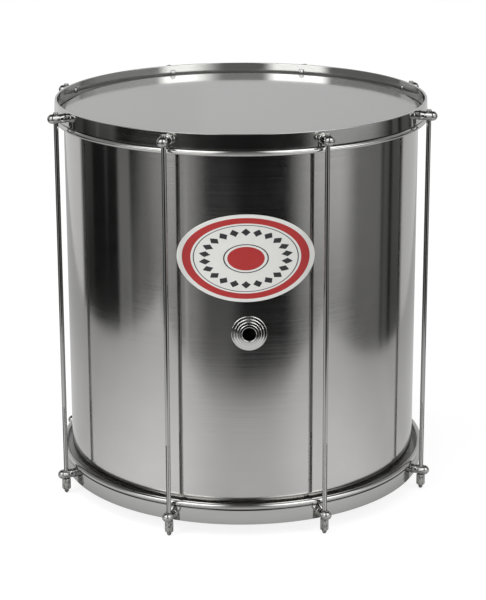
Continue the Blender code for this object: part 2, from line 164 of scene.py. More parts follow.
ROD_ROUNDS = (0.5 * MM, 0.12 * MM, 0.3 * MM, 0.9 * MM)  # arcs up the cone and the stub
THREAD_RUNOUT = 0.6 * MM
ROD_SIDES = 24
THREAD_TOP = 118.0 * MM
THREAD_PITCH = 1.0 * MM
THREAD_DEPTH = 0.5 * MM
THREAD_STEPS = 6  # rings of points in one turn
TIP_ROUND = 2.0 * MM
NUT_FLATS = 10.0 * MM
NUT_FACE_RATIO = 0.86
NUT_CHAMFER = 0.9 * MM
COUNTERSINK = 0.4 * MM

# Vent
VENT_HOLE_R = 10.4 * MM
VENT_DRILL = (30.0 * MM, 64)  # depth and sides
SLEEVE_R = 10.1 * MM
SLEEVE_BORE_R = 8.3 * MM
SLEEVE_LIP_R = 11.9 * MM
SLEEVE_LIP_HEIGHT = 1.5 * MM
SLEEVE_LIP_FALL = 0.3 * MM
SLEEVE_REACH = 7.0 * MM
SLEEVE_ROUNDS = (0.9 * MM, 0.3 * MM, 0.1 * MM, 0.2 * MM)  # arcs at bore, lip, lip's underside and foot
ROSETTE_RADII = (21.4 * MM, 18.0 * MM, 14.8 * MM)
ROSETTE_EDGE = 0.75 * MM  # upright rim of each step
ROSETTE_SLOPE = 0.45 * MM  # rise of each tread towards the middle
ROSETTE_ROUNDS = (0.6 * MM, 0.3 * MM)  # arcs at the outer and inner edge of each tread
ROSETTE_TRIM = 60.0 * MM  # height of the form that trims it
ROSETTE_SKIRT = 2.5 * MM  # reach behind the shell's face, before the trim
SLEEVE_SINK = 1.5 * MM  # sleeve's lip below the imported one's front
VENT_NUT_FLATS = 24.0 * MM
VENT_NUT_HEIGHT = 3.0 * MM
VENT_NUT_GAP = 0.5 * MM
VENT_BAND = 15.0 * MM  # half height of the shell's band that the hole is cut in
SCREW_BAND = 3.4 * MM  # the same for the strips

# Badge
BADGE_HALF_WIDTH = (BADGE_HIGH.x - BADGE_LOW.x) / 2
BADGE_HALF_HEIGHT = (BADGE_HIGH.z - BADGE_LOW.z) / 2
BADGE_Z = (BADGE_HIGH.z + BADGE_LOW.z) / 2
BADGE_THICKNESS = 0.8 * MM
BADGE_BACK = 0.3 * MM
BADGE_EDGE = 0.35 * MM
BADGE_RINGS = 14
BADGE_FRONT = 0.99  # share of the way to the rim that the rings cover
BADGE_EDGE_STEPS = 4
BADGE_BACK_RINGS = (1.0, 0.75, 0.5, 0.25)
BADGE_SIDES = 160
LOZENGES = 22
LOZENGE_REACH = 0.60  # share of the way from the middle to the rim
LOZENGE_HALF = (0.40, 0.085)  # half width in steps, half length

# Camera, set to the photograph's view
CAMERA_DISTANCE = 2.2617
CAMERA_HEIGHT = 0.9444
CAMERA_AZIMUTH = radians(-1.354)
CAMERA_PITCH = radians(14.392)
CAMERA_ROLL = radians(-0.196)
CAMERA_LENS = 107.84
CAMERA_SENSOR = 36.0
CAMERA_SHIFT = (0.0029, -0.1667)

# Metals: colour, least and most roughness, scales of the fine lines, anisotropy, bump strength
METALS = {
    "polished_sheet": ((0.50, 0.495, 0.485), (0.08, 0.14), (6.0, 6.0, 900.0), 0.7, 0.2),
    "plated_strip": ((0.50, 0.50, 0.485), (0.06, 0.13), (8.0, 8.0, 1400.0), 0.6, 0.25),
    "bright_chrome": ((0.38, 0.38, 0.375), (0.04, 0.1), (300.0, 300.0, 300.0), 0.0, 0.08),
    # The vent's chrome below is a lighter copy of the lugs' chrome: painted light that brightens the
    # rosette's reflection of the table
    "vent_lit_chrome": ((0.70, 0.70, 0.69), (0.05, 0.12), (300.0, 300.0, 300.0), 0.0, 0.08),
    "plated_rod": ((0.40, 0.40, 0.39), (0.05, 0.10), (300.0, 300.0, 60.0), 0.0, 0.1),
    "plated_nut": ((0.44, 0.44, 0.42), (0.08, 0.2), (300.0, 300.0, 120.0), 0.0, 0.2),
}
METAL_TONES = (0.94, 1.03)
LINES_WEIGHT = 0.75  # of the fine lines in the roughness, beside the clouds
LINES_TURN = 0.25  # anisotropy's quarter turn, across lines that run round the drum
BUMP_DISTANCE = 0.02 * MM
EVEN = (1.0, 1.0, 1.0)  # scales of a pattern that isn't stretched
NOISE_RANGE = (0.3, 0.7)  # where nearly all of a pattern's values lie
# Patterns: scale, detail and, where it isn't the usual one, roughness
LINES = (1.0, 4.0, 0.65)
CLOUDS = (30.0, 4.0)
FILM_CLOUDS = (9.0, 5.0)
FILM_TOOTH = (900.0, 2.0)
STAINS = (420.0, 3.0)
PAPER = (160.0, 3.0)
FLOOR_GRAIN = (3.0, 4.0)

# Other colours and finishes
FILM_COLOR = (0.31, 0.31, 0.305)
FILM_CLARITY = 0.22
FILM_IOR = 1.6
FILM_ROUGHNESS = (0.07, 0.12)
FILM_TONES = (0.97, 1.03)
FILM_BUMP = 0.06
THREAD_PAINTED_SHADE = 0.6  # tone of the shade painted on the rods' threaded ends, where the grooves shade each other
JOINT_PAINTED_SHADE = 0.3  # tone of the shade painted into the crease where strip and flesh hoop meet
JOINT_REACH = (0.3 * MM, 1.1 * MM)
MILL_ROUGHNESS = 0.5  # added inside the shell
STAIN_SHADE = 0.35  # tone of the nuts' stains
STAIN_RANGE = (0.50, 0.64)
STAIN_STRETCH = (1.0, 1.0, 0.5)
BADGE_WHITE = (0.80, 0.80, 0.77)
BADGE_RED = (0.45, 0.03, 0.03)
BADGE_BLACK = (0.03, 0.03, 0.032)
BADGE_ROUGHNESS = (0.34, 0.44)
PAPER_TONES = (0.96, 1.0)
PAPER_BUMP = 0.05
# (shares of the way to the rim where it starts and ends; ink)
BADGE_BANDS = ((0.80, 0.925, BADGE_RED), (0.75, 0.765, BADGE_BLACK), (-1.0, 0.27, BADGE_RED),
               (0.31, 0.33, BADGE_BLACK))
FLOOR_COLOR = (0.80, 0.80, 0.80)
FLOOR_ROUGHNESS = 0.9

# Studio: the table that the floor shows in reflections, and soft panels round it
FLOOR_SIZE = 40.0
FLOOR_GLOW = 0.86  # near the drum, as the camera sees it
FLOOR_FAR_GLOW = 0.90
FLOOR_GLOW_REACH = (0.8, 2.5)  # distances over which the one becomes the other
FLOOR_TONE = (0.98, 1.0)
FLOOR_SHADE = 0.24  # colour that takes the shadow, under the glow
TABLE_X = (-0.88, 0.76)
TABLE_FRONT_Y = -0.73
TABLE_FRONT_FADE = 0.13  # the front edge is soft in the middle
TABLE_EDGE_FADE = 0.01
TABLE_SOFT_X = (0.5, 0.2)  # distances from the middle where it comes in
TABLE_GLOW = 0.50
TABLE_SHADE = 0.12
# (azimuths where a brighter or darker part of it starts, is full, ends being full and ends; glow): painted
# light and shade on the table, standing for the panels reflected in its sheen
TABLE_LOBES = {
    "left": (-96, -42, -36, -6, 0.25),
    "right": (8, 34, 44, 84, 0.19),
    "far_left": (-181, -180, -98, -86, -0.05),
    "far_right": (88, 100, 180, 181, -0.05),
}
LOBE_START = (0.28, 0.33)  # distances from the axis over which the lobes begin
TABLE_PAINTED_SHADOW = (0.235, 0.29, 0.55, 1.0)  # distances outwards from the drum's foot, and factors: a contact shadow painted on the table round the drum's foot
TABLE_RISE = (0.95, 0.35, 0.84, 1.24)  # distances, far and near, and factors
STUDIO_DARK = 0.014
WORLD_DIFFUSE = 0.55
# Elevations over which the tall panels end, and the short ones, which end below the strips' reflections
TALL = (34.0, 24.0)
SHORT = (-10.2, -11.6)
# (azimuths where it starts, is full, ends being full and ends; glow at the three levels; upper end)
PANELS = {
    "left_backdrop": ((-240, -239, -129, -124), (0.84, 0.84, 0.84), TALL),
    "left_backdrop_side": ((-179.5, -171, -129, -124), (0.12, 0.10, 0.08), TALL),
    "left_streak": ((-123.5, -120, -114, -110), (0.07, 0.03, 0.02), TALL),
    "left_thin_panel": ((-99.5, -98, -97, -95.5), (0.06, 0.01, 0.0), TALL),
    "left_edge_panel": ((-88.5, -85.5, -78.5, -75.5), (0.28, 0.27, 0.23), SHORT),
    "left_low_fill": ((-80, -76, -70, -62), (0.02, 0.09, 0.17), SHORT),
    "left_softbox": ((-77, -52, -38, -20), (0.57, 0.41, 0.30), SHORT),
    "left_softbox_core": ((-52, -48, -45.5, -41), (0.32, 0.22, 0.10), SHORT),
    "left_line": ((-38.6, -37.2, -36.4, -35), (0.06, 0.14, 0.22), SHORT),
    "left_far_glow": ((-46, -30, -12, 2), (0.02, 0.03, 0.15), SHORT),
    "right_wide_panel": ((24, 40, 98, 103), (0.27, 0.26, 0.21), SHORT),
    "right_softbox": ((26, 51, 63, 80), (0.74, 0.42, 0.18), SHORT),
    "right_thin_panel": ((101, 103.5, 106.5, 110.5), (0.14, 0.13, 0.12), TALL),
    "right_edge_panel": ((110, 114, 120.5, 124), (0.13, 0.12, 0.10), TALL),
    "right_backdrop": ((124, 128, 239, 240), (0.82, 0.82, 0.82), TALL),
    "right_backdrop_end": ((170, 179.5, 239, 240), (0.08, 0.08, 0.08), TALL),
}
PANEL_LEVELS = (-13.3, -15.3, -17.3)  # elevations of the three glows
ALL_ROUND = (-182, -181, 181, 182)
LEFT_KEY = (-86, -62, -26, -10)
RIGHT_KEY = (10, 28, 66, 90)
KEY_HEIGHTS = (21, 26, 62, 76)
KEY_FOOT_HEIGHTS = (-3, 2, 4, 8)
WALL_HEIGHTS = (-10.2, -9.2, 0, 8)
# Softboxes, fills, a low card in front and walls: azimuths as for the panels; elevations likewise; glow
KEYS = {
    "left_key": (LEFT_KEY, KEY_HEIGHTS, 3.2),
    "left_key_foot": (LEFT_KEY, KEY_FOOT_HEIGHTS, 3.2),
    "right_key": (RIGHT_KEY, KEY_HEIGHTS, 3.0),
    "right_key_foot": (RIGHT_KEY, KEY_FOOT_HEIGHTS, 3.0),
    "front_fill": ((-150, -120, 120, 150), (-5, 4, 30, 60), 0.4),
    "ceiling": (ALL_ROUND, (50, 75, 100, 110), 0.12),
    "low_card": ((-125, -100, 100, 125), (-75, -65, -28, -21), 0.65),
    "left_wall": ((-118, -98, -86, -79), WALL_HEIGHTS, 0.15),
    "right_wall": ((33, 56, 80, 104), WALL_HEIGHTS, 0.70),
}
# What reflections of reflections see in place of the softboxes, such as the hoop's inner face over the film
SECOND_HEIGHTS = (0, 6, 22, 28)
SECOND_DEPTH = 2.5  # a ray reflected once counts as 2 here
SECOND_KEYS = {
    "left_lamp": ((-64, -54, -26, -15), SECOND_HEIGHTS, 7.0),
    "right_lamp": ((8, 35, 46, 57), SECOND_HEIGHTS, 7.0),
    "right_fill": ((44, 58, 96, 126), SECOND_HEIGHTS, 0.65),
}
BACK_STRIP = (166.0, 170.0)  # azimuths, either way, where it starts and is full
BACK_STRIP_TOP = (-2.0, -6.0)
BACK_STRIP_DARK = 0.85
# (place, width and height, power)
SOFTBOXES = {
    "overhead_softbox": ((-0.5, -0.3, 2.6), (1.8, 1.8), 26.0),
    "left_softbox": ((-1.9, -1.3, 1.5), (1.0, 1.6), 22.0),
    "right_softbox": ((1.9, -1.3, 1.5), (1.0, 1.6), 14.0),
}


def clear_defaults():
    for obj in list(bpy.data.objects):
        if obj.type in ("LIGHT", "CAMERA") or obj.name == "Cube":
            bpy.data.objects.remove(obj, do_unlink=True)


def add_object(name, data):
    obj = bpy.data.objects.new(name, data)
    bpy.context.scene.collection.objects.link(obj)
    return obj


def mesh_from(cage, name):
    bmesh.ops.recalc_face_normals(cage, faces=cage.faces)
    mesh = bpy.data.meshes.new(name)
    cage.to_mesh(mesh)
    cage.free()
    return mesh


def smooth(mesh, degrees=32.0):
    mesh.shade_smooth()
    mesh.set_sharp_from_angle(angle=radians(degrees))


def arc(centre, radius, degrees, steps):
    """Points of an arc between two angles, as (radius, z)."""
    start, end = degrees
    points = []
    for index in range(steps + 1):
        angle = radians(start + (end - start) * index / steps)
        points.append((centre[0] + radius * cos(angle), centre[1] + radius * sin(angle)))
    return points


def rounded(points, radii, steps=4, closed=True):
    """Outline with its corners made into arcs; radii is one size or one for each corner."""
    if not isinstance(radii, (list, tuple)):
        radii = [radii] * len(points)
    outline = []
    for index, (point, radius) in enumerate(zip(points, radii)):
        is_end = not closed and index in (0, len(points) - 1)
        if radius == 0.0 or is_end:
            outline.append(tuple(point))
            continue
        corner = Vector(point)
        before = (Vector(points[index - 1]) - corner).normalized()
        after = (Vector(points[(index + 1) % len(points)]) - corner).normalized()
        half = before.angle(after) / 2
        centre = corner + (before + after).normalized() * radius / sin(half)
        start = corner + before * radius / tan(half) - centre
        end = corner + after * radius / tan(half) - centre
        sweep = atan2(start.cross(end), start.dot(end))
        for step in range(steps + 1):
            spoke = Matrix.Rotation(sweep * step / steps, 2) @ start
            outline.append(tuple(centre + spoke))
    return outline


def eased(corners, steps, closed=True):
    """Outline of corners given as (radius, z, arc's radius)."""
    return rounded([corner[:2] for corner in corners], [corner[2] for corner in corners], steps, closed)


def with_rings(profile, levels):
    """Closed profile with points added where its upright runs cross the levels."""
    result = []
    for point, following in zip(profile, profile[1:] + profile[:1]):
        result.append(point)
        low, high = sorted((point[1], following[1]))
        crossed = [level for level in levels if low + MM < level < high - MM]
        crossed.sort(key=lambda level: abs(level - point[1]))
        for level in crossed:
            share = (level - point[1]) / (following[1] - point[1])
            result.append((point[0] + (following[0] - point[0]) * share, level))
    return result


def supported(profile, closed=True):
    """Profile with points close to the ends of its long runs, which keep smooth shading off them."""
    count = len(profile)
    result = []
    for index in range(count):
        point = Vector(profile[index])
        result.append(tuple(point))
        if not closed and index == count - 1:
            break
        run = Vector(profile[(index + 1) % count]) - point
        if run.length > 8 * SUPPORT:
            step = run.normalized() * SUPPORT
            result += [tuple(point + step), tuple(point + run - step)]
    return result


def bridge(cage, rings, closed=False):
    """Faces between each ring of vertices and the next; a pole is one vertex repeated."""
    sides = len(rings[0])
    pairs = list(zip(rings, rings[1:]))
    if closed:
        pairs.append((rings[-1], rings[0]))
    for first, second in pairs:
        for index in range(sides):
            after = (index + 1) % sides
            corners = [first[index], first[after], second[after], second[index]]
            cage.faces.new(list(dict.fromkeys(corners)))


def around(radius, angle, z):
    """Point at an angle round the drum."""
    return (radius * sin(angle), -radius * cos(angle), z)


def add_ring(cage, sides, point_at):
    """Ring of vertices; point_at gives the point for an angle."""
    return [cage.verts.new(point_at(2 * pi * index / sides)) for index in range(sides)]


def add_pole(cage, sides, point):
    return [cage.verts.new(point)] * sides


def turned(name, profile, sides=RING):
    """Mesh of a profile of (radius, z) points turned round Z. One that starts on the axis ends there too."""
    cage = bmesh.new()
    rings = []
    for radius, z in profile:
        if radius == 0.0:
            rings.append(add_pole(cage, sides, (0.0, 0.0, z)))
        else:
            rings.append(add_ring(cage, sides, lambda angle: around(radius, angle, z)))
    bridge(cage, rings, closed=profile[0][0] > 0.0)
    return mesh_from(cage, name)


def rod_prism(name, radius, depth, sides):
    """Closed upright prism about the origin."""
    cage = bmesh.new()
    bmesh.ops.create_cone(cage, cap_ends=True, segments=sides, radius1=radius, radius2=radius, depth=depth)
    return mesh_from(cage, name)


def boolean(mesh, cutters, operation="DIFFERENCE"):
    """Mesh cut by, or kept inside, each of the cutter meshes."""
    name = mesh.name
    body = add_object("boolean_body", mesh)
    tools = []
    for cutter in cutters:
        tool = add_object("boolean_tool", cutter)
        modifier = body.modifiers.new("boolean", "BOOLEAN")
        modifier.solver = "EXACT"
        modifier.operation = operation
        modifier.object = tool
        tools.append(tool)
    depsgraph = bpy.context.evaluated_depsgraph_get()
    result = bpy.data.meshes.new_from_object(body.evaluated_get(depsgraph))
    for obj in [body] + tools:
        bpy.data.objects.remove(obj, do_unlink=True)
    result.name = name + "_cut"
    return result


def raised(z):
    return Matrix.Translation((0.0, 0.0, z))


def moved(mesh, matrix):
    mesh.transform(matrix)
    return mesh


def outward_frame(angle, radius, z):
    """Frame at a point round the drum, its +X pointing away from the axis."""
    return Matrix.Translation(around(radius, angle, z)) @ Matrix.Rotation(angle - pi / 2, 4, "Z")


def end_frame(side):
    """Frame at a hoop's free edge, its +Z pointing out of the drum's end."""
    if side == "top":
        return raised(TOP_EDGE_Z)
    return raised(BOTTOM_EDGE_Z) @ Matrix.Rotation(pi, 4, "X")


def add_piece(name, mesh, matrix, material, body, slot, *nodes):
    """Piece with its place in its own mesh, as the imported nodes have, riding on a body."""
    mesh = mesh.copy()
    mesh.name = name
    mesh.transform(matrix)
    mesh.materials.append(material)
    obj = add_object(name, mesh)
    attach(obj, body)
    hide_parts(*nodes)


def socket_link(tree, socket, value):
    """Link a socket to another, or set its value."""
    if isinstance(value, bpy.types.NodeSocket):
        tree.links.new(value, socket)
    else:
        socket.default_value = value


def feed(tree, node, values):
    """Link or set a node's inputs by name."""
    for name, value in values.items():
        socket_link(tree, node.inputs[name], value)


def new_node(tree, kind):
    return tree.nodes.new("ShaderNode" + kind)


def maths(tree, operation, *values, clamp=False):
    node = new_node(tree, "Math")
    node.operation = operation
    node.use_clamp = clamp
    for socket, value in zip(node.inputs, values):
        socket_link(tree, socket, value)
    return node.outputs[0]


def times(tree, *values):
    """Product of sockets and numbers."""
    product = values[0]
    for value in values[1:]:
        product = maths(tree, "MULTIPLY", product, value)
    return product


def flat_distance(tree, x, y):
    return maths(tree, "SQRT", maths(tree, "ADD", times(tree, x, x), times(tree, y, y)))


def is_between(tree, value, low, high):
    return times(tree, maths(tree, "GREATER_THAN", value, low), maths(tree, "LESS_THAN", value, high))


def ramp(tree, value, start, end, low=0.0, high=1.0, kind="SMOOTHSTEP"):
    """Change from low to high while value goes from start to end, eased at both ends or LINEAR."""
    node = new_node(tree, "MapRange")
    node.interpolation_type = kind
    feed(tree, node, {"Value": value, "From Min": start, "From Max": end, "To Min": low, "To Max": high})
    return node.outputs["Result"]


def mix_colors(tree, share, first, second):
    """Mix of two colours, each a socket or (red, green, blue)."""
    node = new_node(tree, "Mix")
    node.data_type = "RGBA"
    factor = [socket for socket in node.inputs if socket.name == "Factor"][0]
    colors = [socket for socket in node.inputs if socket.type == "RGBA"]
    socket_link(tree, factor, share)
    for socket, color in zip(colors, (first, second)):
        is_socket = isinstance(color, bpy.types.NodeSocket)
        socket_link(tree, socket, color if is_socket else (*color, 1.0))
    return [socket for socket in node.outputs if socket.type == "RGBA"][0]


def new_material(name):
    material = bpy.data.materials.new(name)
    material.use_nodes = True
    tree = material.node_tree
    return material, tree, tree.nodes["Principled BSDF"]


def coords(tree, scale=EVEN):
    source = new_node(tree, "TexCoord")
    mapping = new_node(tree, "Mapping")
    feed(tree, mapping, {"Vector": source.outputs["Object"], "Scale": scale})
    return mapping.outputs["Vector"]


def split(tree, vector):
    node = new_node(tree, "SeparateXYZ")
    tree.links.new(vector, node.inputs[0])
    return node.outputs


def noise(tree, vector, scale, detail, roughness=0.55):
    node = new_node(tree, "TexNoise")
    feed(tree, node, {"Vector": vector, "Scale": scale, "Detail": detail, "Roughness": roughness})
    return node.outputs["Fac"]


def bump(tree, shader, height, strength):
    node = new_node(tree, "Bump")
    feed(tree, node, {"Height": height, "Strength": strength, "Distance": BUMP_DISTANCE})
    tree.links.new(node.outputs["Normal"], shader.inputs["Normal"])


def varied(tree, share, color, tones):
    """Colour between two tones of itself."""
    darker, lighter = [tuple(tone * value for value in color) for tone in tones]
    return mix_colors(tree, share, darker, lighter)


def metal_material(name):
    """Plated or polished metal with fine lines and faint clouds."""
    color, roughness, grain, anisotropy, bump_strength = METALS[name]
    material, tree, shader = new_material(name)
    lines = noise(tree, coords(tree, grain), *LINES)
    cloud = noise(tree, coords(tree), *CLOUDS)
    mixed = maths(tree, "MULTIPLY_ADD", lines, LINES_WEIGHT, times(tree, cloud, 1.0 - LINES_WEIGHT))
    feed(tree, shader, {
        "Base Color": varied(tree, cloud, color, METAL_TONES),
        "Roughness": ramp(tree, mixed, *NOISE_RANGE, *roughness),
        "Metallic": 1.0,
        "Anisotropic": anisotropy,
        "Anisotropic Rotation": LINES_TURN,
    })
    bump(tree, shader, lines, bump_strength)
    return material


def shade_part(material, share, tone):
    """Darken a share of a material's colour to a tone."""
    tree = material.node_tree
    base = tree.nodes["Principled BSDF"].inputs["Base Color"]
    color = base.links[0].from_socket
    factor = maths(tree, "MULTIPLY_ADD", share, tone - 1.0, 1.0)
    scaled = new_node(tree, "VectorMath")
    scaled.operation = "SCALE"
    tree.links.new(color, scaled.inputs[0])
    tree.links.new(factor, scaled.inputs["Scale"])
    tree.links.new(scaled.outputs[0], base)


def shell_material():
    """Polished outside; the inside keeps the sheet's dull mill finish."""
    material = metal_material("polished_sheet")
    tree = material.node_tree
    x, y, _ = split(tree, coords(tree))
    inside = maths(tree, "LESS_THAN", flat_distance(tree, x, y), SHELL_R - SHELL_WALL / 2)
    rough = tree.nodes["Principled BSDF"].inputs["Roughness"]
    tree.links.new(maths(tree, "MULTIPLY_ADD", inside, MILL_ROUGHNESS, rough.links[0].from_socket), rough)
    return material


def hoop_material():
    """Plated strip, with shade painted into the crease between the strips and the flesh hoops."""
    material = metal_material("plated_strip")
    tree = material.node_tree
    z = split(tree, coords(tree))[2]
    middle = (TOP_EDGE_Z + BOTTOM_EDGE_Z) / 2
    level = (TOP_EDGE_Z - BOTTOM_EDGE_Z) / 2 - STRIP_HEIGHT
    height = maths(tree, "ABSOLUTE", maths(tree, "SUBTRACT", z, middle))
    off = maths(tree, "ABSOLUTE", maths(tree, "SUBTRACT", height, level))
    # painted shade: the colour is darkened along the crease between strip and flesh hoop
    shade_part(material, ramp(tree, off, *reversed(JOINT_REACH)), JOINT_PAINTED_SHADE)
    return material


def rod_material():
    """Plated rods, with shade painted on the thread."""
    material = metal_material("plated_rod")
    tree = material.node_tree
    z = split(tree, coords(tree))[2]
    # painted shade: the colour is darkened over the thread, where the grooves shade each other
    shade_part(material, ramp(tree, z, THREAD_TOP + MM, THREAD_TOP - MM), THREAD_PAINTED_SHADE)
    return material


def nut_material():
    """Plated nuts, worn and stained from handling."""
    material = metal_material("plated_nut")
    tree = material.node_tree
    stain = noise(tree, coords(tree, STAIN_STRETCH), *STAINS)
    shade_part(material, ramp(tree, stain, *STAIN_RANGE), STAIN_SHADE)
    return material


def film_material():
    """Milky film, glossy: faint clouds in it and a fine, even tooth."""
    material, tree, shader = new_material("milky_film")
    cloud = noise(tree, coords(tree), *FILM_CLOUDS)
    tooth = noise(tree, coords(tree), *FILM_TOOTH)
    feed(tree, shader, {
        "Base Color": varied(tree, cloud, FILM_COLOR, FILM_TONES),
        "Roughness": ramp(tree, tooth, *NOISE_RANGE, *FILM_ROUGHNESS),
        "IOR": FILM_IOR,
        "Transmission Weight": FILM_CLARITY,
    })
    bump(tree, shader, tooth, FILM_BUMP)
    return material


def badge_material():
    """Printed oval: rings that follow the rim, a wreath of lozenges and a plain oval in the middle."""
    material, tree, shader = new_material("printed_badge")
    x, _, z = split(tree, coords(tree))
    across = maths(tree, "DIVIDE", x, BADGE_HALF_WIDTH)
    upward = maths(tree, "DIVIDE", maths(tree, "SUBTRACT", z, BADGE_Z), BADGE_HALF_HEIGHT)
    reach = flat_distance(tree, across, upward)
    paper = noise(tree, coords(tree), *PAPER)
    color = varied(tree, paper, BADGE_WHITE, PAPER_TONES)
    for inner, outer, ink in BADGE_BANDS:
        color = mix_colors(tree, is_between(tree, reach, inner, outer), color, ink)
    turn = times(tree, maths(tree, "ARCTAN2", upward, across), LOZENGES / (2 * pi))
    aside = maths(tree, "ABSOLUTE", maths(tree, "SUBTRACT", maths(tree, "FRACT", turn), 0.5))
    off = maths(tree, "ABSOLUTE", maths(tree, "SUBTRACT", reach, LOZENGE_REACH))
    size = maths(tree, "ADD", maths(tree, "DIVIDE", aside, LOZENGE_HALF[0]),
                 maths(tree, "DIVIDE", off, LOZENGE_HALF[1]))
    feed(tree, shader, {
        "Base Color": mix_colors(tree, maths(tree, "LESS_THAN", size, 1.0), color, BADGE_BLACK),
        "Roughness": ramp(tree, paper, *NOISE_RANGE, *BADGE_ROUGHNESS),
    })
    bump(tree, shader, paper, PAPER_BUMP)
    return material


def shown_rays(tree, path):
    """1 for the rays that see the background: camera, transmission and glossy rays."""
    both = maths(tree, "ADD", path.outputs["Is Camera Ray"], path.outputs["Is Transmission Ray"])
    return maths(tree, "ADD", both, path.outputs["Is Glossy Ray"], clamp=True)


def panel_share(tree, value, start, full, last, end):
    """1 between full and last, fading to 0 at start and end."""
    return times(tree, ramp(tree, value, start, full), ramp(tree, value, end, last))


def azimuth_of(tree, x, y):
    """Degrees round the drum from the front towards +X."""
    return times(tree, maths(tree, "ARCTAN2", x, times(tree, y, -1.0)), 180.0 / pi)


def table_glow(tree, x, y, distance):
    """Light of the table in reflections: changed by the lobes, which are painted light and shade, higher near
    the drum, and low at its foot, where a contact shadow is painted.
    """
    azimuth = azimuth_of(tree, x, y)
    glow = TABLE_GLOW
    for *azimuths, extra in TABLE_LOBES.values():
        share = times(tree, panel_share(tree, azimuth, *azimuths), ramp(tree, distance, *LOBE_START))
        glow = maths(tree, "MULTIPLY_ADD", share, extra, glow)
    # painted contact shadow: the glow falls off towards the drum's foot
    painted_shadow = ramp(tree, distance, *TABLE_PAINTED_SHADOW)
    return times(tree, glow, painted_shadow, ramp(tree, distance, *TABLE_RISE))


def table_share(tree, x, y):
    """1 on the table, 0 beyond it; the front edge fades out in the middle."""
    middle = ramp(tree, maths(tree, "ABSOLUTE", x), *TABLE_SOFT_X)
    fade = maths(tree, "MULTIPLY_ADD", middle, TABLE_FRONT_FADE, TABLE_EDGE_FADE)
    inside = maths(tree, "DIVIDE", maths(tree, "SUBTRACT", y, TABLE_FRONT_Y), fade)
    return times(tree, is_between(tree, x, *TABLE_X), ramp(tree, inside, -1.0, 1.0))


def combined(tree, kind, *inputs):
    """Output of a shader node of a kind with its inputs linked in their order."""
    node = new_node(tree, kind)
    for socket, value in zip(node.inputs, inputs):
        tree.links.new(value, socket)
    return node.outputs[0]


def lit_floor(tree, is_glossy, x, y):
    """What camera and reflections see: a glow, and over it the shadows that the lamps throw."""
    distance = flat_distance(tree, x, y)
    grain = noise(tree, coords(tree), *FLOOR_GRAIN)
    tone = ramp(tree, grain, *NOISE_RANGE, *FLOOR_TONE)
    seen = ramp(tree, distance, *FLOOR_GLOW_REACH, FLOOR_GLOW, FLOOR_FAR_GLOW)
    change = maths(tree, "SUBTRACT", table_glow(tree, x, y, distance), seen)
    glow = new_node(tree, "Emission")
    strength = times(tree, tone, maths(tree, "MULTIPLY_ADD", is_glossy, change, seen))
    tree.links.new(strength, glow.inputs["Strength"])
    shade = new_node(tree, "BsdfDiffuse")
    color = mix_colors(tree, is_glossy, (FLOOR_SHADE,) * 3, (TABLE_SHADE,) * 3)
    tree.links.new(color, shade.inputs["Color"])
    return combined(tree, "AddShader", shade.outputs[0], glow.outputs[0])


def floor_material():
    """Pale floor for the camera; in reflections only the table's part shows."""
    material, tree, shader = new_material("pale_floor")
    path = new_node(tree, "LightPath")
    is_glossy = path.outputs["Is Glossy Ray"]
    x, y, _ = split(tree, new_node(tree, "NewGeometry").outputs["Position"])
    feed(tree, shader, {
        "Base Color": (*FLOOR_COLOR, 1.0),
        "Roughness": FLOOR_ROUGHNESS,
        "Specular IOR Level": 0.0,
    })
    lit = lit_floor(tree, is_glossy, x, y)
    by_ray = combined(tree, "MixShader", shown_rays(tree, path), shader.outputs[0], lit)
    beyond = times(tree, is_glossy, maths(tree, "SUBTRACT", 1.0, table_share(tree, x, y)))
    clear = new_node(tree, "BsdfTransparent")
    surface = combined(tree, "MixShader", beyond, by_ray, clear.outputs[0])
    tree.links.new(surface, tree.nodes["Material Output"].inputs["Surface"])
    return material


def level_glow(tree, elevation, glows):
    """Glow that changes evenly from the upper level to the middle and to the lower one."""
    upper, middle, lower = glows
    high, mid, low = PANEL_LEVELS
    above = ramp(tree, elevation, mid, high, middle, upper, "LINEAR")
    below = ramp(tree, elevation, low, mid, lower - middle, 0.0, "LINEAR")
    return maths(tree, "ADD", above, below)


def panel_light(tree, azimuth, elevation):
    """Upright panels round the drum, with a darker strip straight behind it."""
    light = STUDIO_DARK
    for azimuths, glows, top in PANELS.values():
        share = times(tree, panel_share(tree, azimuth, *azimuths), ramp(tree, elevation, *top))
        light = maths(tree, "MULTIPLY_ADD", share, level_glow(tree, elevation, glows), light)
    behind = ramp(tree, maths(tree, "ABSOLUTE", azimuth), *BACK_STRIP)
    strip = times(tree, behind, ramp(tree, elevation, *BACK_STRIP_TOP), BACK_STRIP_DARK)
    return times(tree, light, maths(tree, "SUBTRACT", 1.0, strip))


def key_light(tree, path, azimuth, elevation, light):
    """Light with the keys added, or for reflections of reflections the second keys."""
    is_second = maths(tree, "GREATER_THAN", path.outputs["Ray Depth"], SECOND_DEPTH)
    replaced = times(tree, is_second, panel_share(tree, elevation, *SECOND_HEIGHTS))
    is_first = maths(tree, "SUBTRACT", 1.0, replaced)
    for keys, applies in ((KEYS, is_first), (SECOND_KEYS, is_second)):
        for azimuths, heights, glow in keys.values():
            across = panel_share(tree, azimuth, *azimuths)
            share = times(tree, across, panel_share(tree, elevation, *heights), applies)
            light = maths(tree, "MULTIPLY_ADD", share, glow, light)
    return light


